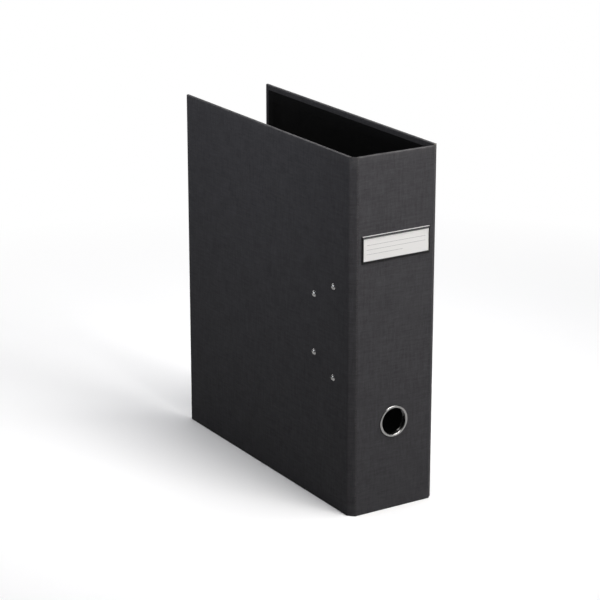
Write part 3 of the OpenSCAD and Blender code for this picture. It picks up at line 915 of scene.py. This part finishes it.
# share of the lip's width and height off the spine, from the frame's outer edge to the card
wallSection = [(0, 0.02 * mm), (0, 0.54 * high), (0.02, 0.58 * high), (0.32, 0.82 * high),
               (0.38, 0.85 * high), (0.86, 0.985 * high), (0.90, high), (0.96, 0.99 * high), (1, 0.94 * high),
               (1, under + 0.06 * mm), (0.96, under), (0.4, under), (0.27, 0.50 * high), (0.27, 0.02 * mm)]
barSection = [(0.45, under), (0.08, 0.19 * high), (0, 0.224 * high), (0.01, 0.234 * high),
              (0.47, 0.63 * high), (0.93, high), (1, 0.93 * high), (1, under + 0.06 * mm), (0.96, under)]
holder = makePiece("labelHolder", joined([
    mitredBars(wallSection, [(False, True), (False, False), (True, False), (True, True)]),
    mitredBars(barSection, [(False, True), (True, True)])]), "dark_nickel", sharp=20.0)
standFor(holder, "spine", "label_holder")

cardLow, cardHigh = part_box("label_card")
cardMiddle = (cardLow + cardHigh) / 2


def cardUv(u, v):
    # share of the card's width, and metres above its middle
    return (u - cardLow.x) / (cardHigh.x - cardLow.x), v - cardMiddle.z


card = closedSheet("labelCard", spread(cardLow.x, cardHigh.x, 4 * mm), spread(cardLow.z, cardHigh.z, 4 * mm),
                   lambda u, v: Vector((u, cardLow.y, v)), lambda u, v: Vector((u, cardHigh.y, v)),
                   "label_card", uv=cardUv)
standFor(card, "label_card", "label_card")
print("spine fittings made")

# mechanism on the rear cover: x is height above the lining

plateLow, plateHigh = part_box("base_plate")
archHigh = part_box("arch_wire")[1]
postLow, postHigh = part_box("upper_post")
axle, leverPivot = jointAt["arch_swing"], jointAt["lever_swing"]
rollerAt, latchAt = jointAt["roller_spin"], jointAt["latch_flip"]
lining = plateLow.x
mechZ = (plateLow.z + plateHigh.z) / 2
postY, postZ = (postLow.y + postHigh.y) / 2, (postLow.z + postHigh.z) / 2 - mechZ
up, across = Vector((1, 0, 0)), Vector((0, 0, 1))


def softened(name, node, slotName, body, width):
    # a pressing: the node's own shape with its cut edges rounded over
    work = bmesh.new()
    work.from_mesh(frame["nodes"][node].data)
    bmesh.ops.remove_doubles(work, verts=work.verts, dist=0.002 * mm)
    bmesh.ops.dissolve_limit(work, angle_limit=math.radians(0.5), verts=work.verts, edges=work.edges)
    mesh = bpy.data.meshes.new(name)
    work.to_mesh(mesh)
    work.free()
    mesh.shade_smooth()
    mesh.materials.clear()
    mesh.materials.append(materials[slotName])
    piece = addObject(name, mesh)
    bevel = piece.modifiers.new("softEdges", "BEVEL")
    bevel.width, bevel.segments, bevel.limit_method = width, 3, "ANGLE"
    bevel.angle_limit, bevel.harden_normals = math.radians(32), True
    standFor(piece, body, node)


softened("basePlate", "base_plate", "bright_nickel", "rear_cover", 0.22 * mm)
softened("compressorBar", "compressor_bar", "bright_nickel", "compressor", 0.22 * mm)
softened("lever", "lever", "bright_nickel", "lever", 0.25 * mm)
softened("latch", "compressor_latch", "bright_nickel", "latch", 0.2 * mm)

post = {
    "r": 2.3 * mm,
    "collarR": (postHigh.y - postLow.y) / 2, "collarTop": 6.6 * mm,
    "plate": 1.0 * mm, "spigotR": 2.0 * mm,
    "boreR": 1.5 * mm, "boreLength": 20 * mm, "mouthR": 2.1 * mm,
}
top, soft = postHigh.x - lining, 0.25 * mm
r, collarR, collarTop, boreR, mouthR = (post[k] for k in ("r", "collarR", "collarTop", "boreR", "mouthR"))
postSection = [
    (post["spigotR"], 0), (post["spigotR"], post["plate"]), (collarR, post["plate"]),
    (collarR, collarTop - soft), (collarR - 0.3 * soft, collarTop - 0.3 * soft), (collarR - soft, collarTop),
    (r + soft, collarTop), (r, collarTop + soft), (r, top - 0.12 * mm), (r - 0.05 * mm, top - 0.03 * mm),
    (r - 0.12 * mm, top), (mouthR, top), (boreR, top - (mouthR - boreR) * math.tan(math.pi / 6)),
    (boreR, top - post["boreLength"])]
for name, node, sign in (("upperPost", "upper_post", 1), ("lowerPost", "lower_post", -1)):
    shape = turned(postSection, (lining, postY, mechZ + sign * postZ), up, 64)
    standFor(makePiece(name, shape, "bright_nickel"), "rear_cover", node)

rivet = {
    "headR": 2.9 * mm, "headH": 1.6 * mm,
    "shankR": 2.0 * mm, "boreR": 1.3 * mm,
    "tailR": 3.0 * mm, "tailH": 0.8 * mm,
    "farSpan": 52.8 * mm,
    "plate": 1.0 * mm,
}
rivetLow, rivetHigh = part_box("mechanism_rivets")
coverThickness = lining - rearLow.x
rivetPlaces = [(rivetLow.y + rivet["headR"], rivetHigh.z - rivet["headR"] - mechZ),
               (rivetHigh.y - rivet["headR"], rivet["farSpan"] / 2)]


def rivetSection():
    # height runs inward from the cover's outer face: domed head, shank, then the rolled tail
    headR, headH = rivet["headR"], rivet["headH"]
    ball = (headR ** 2 + headH ** 2) / (2 * headH)
    section = []
    for k in range(13):
        r = max(0.06 * mm, headR * 0.97 * k / 12)
        section.append((r, ball - headH - math.sqrt(ball ** 2 - r ** 2)))
    section += [(headR, -0.06 * mm), (headR - 0.03 * mm, 0), (rivet["shankR"], 0)]
    tail, tailR, tailH = coverThickness + rivet["plate"], rivet["tailR"], rivet["tailH"]
    section += [(rivet["shankR"], tail), (tailR - 0.1 * mm, tail), (tailR, tail + 0.12 * mm)]
    section += arcPoints((tailR - 0.55 * mm, tail + tailH - 0.55 * mm), 0.55 * mm, 0, 90, 5)
    section += arcPoints((rivet["boreR"] + 0.35 * mm, tail + tailH - 0.35 * mm), 0.35 * mm, 90, 180, 4)
    return section + [(rivet["boreR"], coverThickness)]


shapes = [turned(rivetSection(), (rearLow.x, y, mechZ + sign * z), up, 40)
          for y, z in rivetPlaces for sign in (-1, 1)]
standFor(makePiece("rivets", joined(shapes), "bright_nickel", sharp=50.0), "rear_cover", "mechanism_rivets")

wireR = archHigh.z - mechZ - postZ
arch = {
    "crankZ": 12 * mm,
    "crankBend": 3.5 * mm,
    "archBend": (postY - axle.y) / 2,
    "legBend": 2 * wireR,
    "tip": [(0.25 * mm, 0.80), (0.6 * mm, 0.48), (0.9 * mm, 0.20), (1.05 * mm, 0.06)],
}


def archPath():
    # tip, arch and leg at one end, the crank under the roller, and the same again at the other
    archX, bend = archHigh.x - wireR, arch["archBend"]
    side = [(archX - bend, postY), (archX, postY), (archX, axle.y), (axle.x, axle.y)]
    crank = [(axle.x, axle.y), (axle.x, leverPivot.y)]
    half = [Vector((x, y, postZ)) for x, y in side] + [Vector((x, y, arch["crankZ"])) for x, y in crank]
    corners = half + [Vector((p.x, p.y, -p.z)) for p in reversed(half)]
    radii = [bend, bend, arch["legBend"], arch["crankBend"], arch["crankBend"]]
    return [p + Vector((0, 0, mechZ)) for p in roundedPath(corners, radii + radii[::-1], 16)]


tip = [(d, share * wireR) for d, share in arch["tip"]]
standFor(makePiece("archWire", bentWire(archPath(), wireR, 28, tip), "bright_nickel"), "arches", "arch_wire")

grip = {"r": 0.6 * mm, "bend": 2 * mm, "sink": 0.65 * mm}
springLow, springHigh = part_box("grip_spring")
h = springLow.x + grip["r"]
nearY, farY, endZ = springLow.y + grip["r"], springHigh.y, springHigh.z - grip["r"] - mechZ
corners = [Vector((h, farY, mechZ + endZ)), Vector((h, nearY, mechZ + endZ)),
           Vector((h, nearY, mechZ - endZ)), Vector((h, farY, mechZ - endZ))]
spring = bentWire(roundedPath(corners, [grip["bend"]] * 2, 8), grip["r"], 14)
standFor(makePiece("gripSpring", spring, "plated_steel"), "compressor", "grip_spring")


pins = {
    "soft": 0.15 * mm,
    "lever": {"r": 1.75 * mm, "headR": 2.55 * mm, "headT": 0.8 * mm,
              "collar": (9.8 * mm, 14.5 * mm, 2.75 * mm)},       # from the cheek to the lug, and its radius
    "roller": {"r": 1.4 * mm, "headR": 2.0 * mm, "headT": 0.6 * mm},
    "latch": {"r": 1.0 * mm, "headR": 1.5 * mm, "headT": 0.45 * mm},
}


def headedPin(centre, r, halfLength, headR, headT, collar):
    # a pin across the mechanism with a spun head at each end, and collars if it has any
    soft = pins["soft"]
    half = [(r, collar[0]), (collar[2], collar[0]), (collar[2], collar[1]), (r, collar[1])] if collar else []
    half += [(r, halfLength), (headR - soft, halfLength), (headR, halfLength + soft),
             (headR, halfLength + headT - soft), (headR - soft, halfLength + headT),
             (0.4 * r, halfLength + headT)]
    section = [(a, -b) for a, b in reversed(half)] + half
    return turned(section, centre, across, 40)


def headedPinFor(name, node, body, centre, r, headR, headT, collar=None):
    low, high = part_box(node)
    middle = Vector((centre.x, centre.y, (low.z + high.z) / 2))
    shape = headedPin(middle, r, (high.z - low.z) / 2 - headT, headR, headT, collar)
    standFor(makePiece(name, shape, "plated_steel"), body, node)


rollerLow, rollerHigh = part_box("roller")
rollerHalf = (rollerHigh.z - rollerLow.z) / 2
headedPinFor("leverPin", "lever_pin", "rear_cover", leverPivot, **pins["lever"])
headedPinFor("rollerPin", "roller_pin", "lever", rollerAt, **pins["roller"])
headedPinFor("latchPin", "latch_pin", "compressor", latchAt, **pins["latch"])

roller = {"r": (rollerHigh.x - rollerLow.x) / 2, "boreR": 1.45 * mm, "chamfer": 0.4 * mm, "groove": 0.2 * mm}
r, bore, soft, cut = roller["r"], roller["boreR"], roller["chamfer"], roller["groove"]
half = [(bore, rollerHalf), (r - soft, rollerHalf), (r, rollerHalf - soft), (r, rollerHalf - 1.6 * mm),
        (r - cut, rollerHalf - 1.8 * mm), (r - cut, rollerHalf - 2.2 * mm), (r, rollerHalf - 2.4 * mm)]
section = half + [(a, -b) for a, b in reversed(half)]
centre = (rollerAt.x, rollerAt.y, (rollerLow.z + rollerHigh.z) / 2)
standFor(makePiece("roller", turned(section, centre, across, 56, closed=True), "roller_plastic", sharp=30.0),
         "roller", "roller")
print("mechanism made")

# stage, lights and camera

studio = {
    "aim": Vector((-19.9 * mm, -20.1 * mm, 161.1 * mm)),
    "distance": 1.9775,
    "azimuth": math.radians(-31.9),
    "elevation": math.radians(18.0),
    "lens": 133.3,
    "world": 0.035,
    "backdrop": 1.0,
    "floor": 0.94,
    "fadeFrom": 0.42, "fadeTo": 0.85,
    "bounce": 0.25,            # what the floor throws back onto the object
    "mirrored": 0.45,          # the floor as polished metal shows it
    "key": {"at": (0.31, -0.39, 1.46), "aim": (0, 0, 0.1), "size": (0.5, 0.5), "power": 6.9, "spread": 180,
            "colour": (1.0, 0.985, 0.965)},
    "front": {"at": (0.12, -0.85, 0.95), "aim": (0, -0.14, 0.38), "size": (0.5, 0.35), "power": 1.3,
              "spread": 60, "colour": (1.0, 0.985, 0.97)},
    "left": {"at": (-0.55, 0.05, 0.40), "aim": (-0.04, 0.04, 0.38), "size": (0.4, 0.24), "power": 0.29,
             "spread": 80, "colour": (0.9, 0.93, 1.0)},
    "lowCard": {"at": (0.80, -1.36, 0.62), "aim": (0, -0.14, 0.24), "size": (0.3, 0.75), "power": 4.4,
                "spread": 180, "colour": (1.0, 1.0, 1.0)},
    "rivetCard": {"at": (-0.55, 1.5, 1.0), "aim": (0, 0, 0.2), "size": (0.9, 0.7), "power": 2.2,
                  "spread": 180, "colour": (1.0, 1.0, 1.0)},
    "top": {"at": (0.1, 0.3, 2.3), "aim": (0.1, 0.3, 0), "size": (3.0, 3.0), "power": 14.6, "spread": 70,
            "colour": (0.965, 0.972, 1.0)},
    "back": {"at": (1.15, 1.9, 1.6), "aim": (1.15, 1.9, 0), "size": (1.6, 1.6), "power": 9.9, "spread": 90,
             "colour": (1.0, 1.0, 1.0)},
}


def perRay(tree, rays, kind, seen, otherwise):
    # one number for this kind of ray and another for the rest
    return maths(tree, "MULTIPLY_ADD", rays.outputs[kind], seen - otherwise, otherwise)


def makeFloor():
    material, tree, shader = newMaterial("paleFloor", 0.9, specular=0.1)
    rays = tree.nodes.new("ShaderNodeLightPath")
    pale = perRay(tree, rays, "Is Camera Ray", studio["floor"], studio["bounce"])
    pale = plus(tree, pale, times(tree, rays.outputs["Is Glossy Ray"], studio["mirrored"] - studio["bounce"]))
    tone = maths(tree, "MULTIPLY_ADD", noiseAt(tree, objectCoordinates(tree), 3.0), 0.01, pale)
    link(tree, shaded(tree, (1, 1, 1, 1), tone), shader.inputs["Base Color"])
    spot = tree.nodes.new("ShaderNodeVectorMath")          # far off it runs into the backdrop
    spot.operation = "LENGTH"
    link(tree, objectCoordinates(tree), spot.inputs[0])
    away = times(tree, minus(tree, spot.outputs["Value"], studio["fadeFrom"]),
                 1 / (studio["fadeTo"] - studio["fadeFrom"]), clamp=True)
    glow, blended = tree.nodes.new("ShaderNodeEmission"), tree.nodes.new("ShaderNodeMixShader")
    setInputs(glow, Strength=studio["backdrop"])
    link(tree, times(tree, away, rays.outputs["Is Camera Ray"]), blended.inputs[0])
    link(tree, shader.outputs[0], blended.inputs[1])
    link(tree, glow.outputs[0], blended.inputs[2])
    link(tree, blended.outputs[0], tree.nodes["Material Output"].inputs["Surface"])
    rings = [(r, 0) for r in (0.0001, 1.0, 2.5, 6.0, 14.0)]
    verts, faces = turned(rings, (0, 0, 0), (0, 0, -1), 64)
    mesh = bpy.data.meshes.new("floor")
    mesh.from_pydata(verts, [], faces[:-2])                # without the flat ends
    mesh.materials.append(material)
    addObject("floor", mesh)


def makeLight(name, at, aim, size, power, spread, colour):
    data = bpy.data.lights.new(name, "AREA")
    data.shape, data.energy, data.spread = "RECTANGLE", power, math.radians(spread)
    data.size, data.size_y = size
    data.color = colour
    lamp = addObject(name, data)
    lamp.location, lamp.visible_camera = at, False
    lamp.rotation_euler = (Vector(aim) - Vector(at)).to_track_quat("-Z", "Y").to_euler()


def makeWorld():
    # dim surroundings light the object; looked at directly they are as pale as the floor
    world = bpy.data.worlds.new("studio")
    world.use_nodes = True
    tree = world.node_tree
    rays = tree.nodes.new("ShaderNodeLightPath")
    strength = perRay(tree, rays, "Is Camera Ray", studio["backdrop"], studio["world"])
    link(tree, strength, tree.nodes["Background"].inputs["Strength"])
    tree.nodes["Background"].inputs["Color"].default_value = (1, 1, 1, 1)
    bpy.context.scene.world = world


def makeCamera():
    data = bpy.data.cameras.new("camera")
    data.lens, data.sensor_width = studio["lens"], 36.0
    camera = addObject("camera", data)
    a, e = studio["azimuth"], studio["elevation"]
    back = Vector((math.sin(a) * math.cos(e), -math.cos(a) * math.cos(e), math.sin(e)))
    camera.location = studio["aim"] + back * studio["distance"]
    camera.rotation_euler = (-back).to_track_quat("-Z", "Y").to_euler()
    bpy.context.scene.camera = camera


makeFloor()
for name in ("key", "front", "left", "lowCard", "rivetCard", "top", "back"):
    makeLight(name, **studio[name])
makeWorld()
bpy.context.scene.view_settings.view_transform = "Standard"
makeCamera()
print("stage set")
